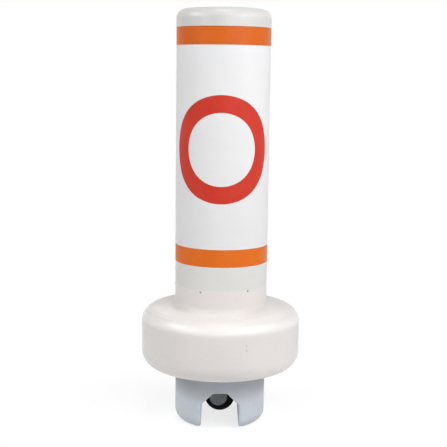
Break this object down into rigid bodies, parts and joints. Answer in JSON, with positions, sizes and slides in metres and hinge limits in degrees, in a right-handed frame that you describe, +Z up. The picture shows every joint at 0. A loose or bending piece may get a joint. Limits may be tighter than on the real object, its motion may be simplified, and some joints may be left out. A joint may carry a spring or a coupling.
{
  "type": "marker buoy",
  "caption": "Upright channel marker buoy: striped foam-filled column with a warning ring, round float collar, slotted base and mooring lug.",
  "frame": {"origin": "on the floor under the feet, on the column's axis", "axes": "+Z up along the column; -Y towards the front, where the slot and the front warning ring face; +X to the right seen from the front"},
  "size_m": [0.395, 0.395, 1.023],
  "materials": {
    "column_plastic": "satin moulded polyethylene",
    "collar_plastic": "satin moulded polyethylene",
    "base_plastic": "satin moulded polyethylene",
    "coated_iron": "black dipped coating",
    "ballast_iron": "rough casting",
    "white_film": "smooth printed film",
    "orange_film": "smooth printed film",
    "red_film": "smooth printed film"
  },
  "bodies": {
    "root": {"column": "column_plastic", "top_cap": "column_plastic", "float_collar": "collar_plastic", "slotted_base": "base_plastic", "mooring_lug": "coated_iron", "ballast_block": "ballast_iron", "white_film": "white_film", "lower_band": "orange_film", "upper_band": "orange_film", "front_ring": "red_film", "back_ring": "red_film"}
  },
  "joints": []
}
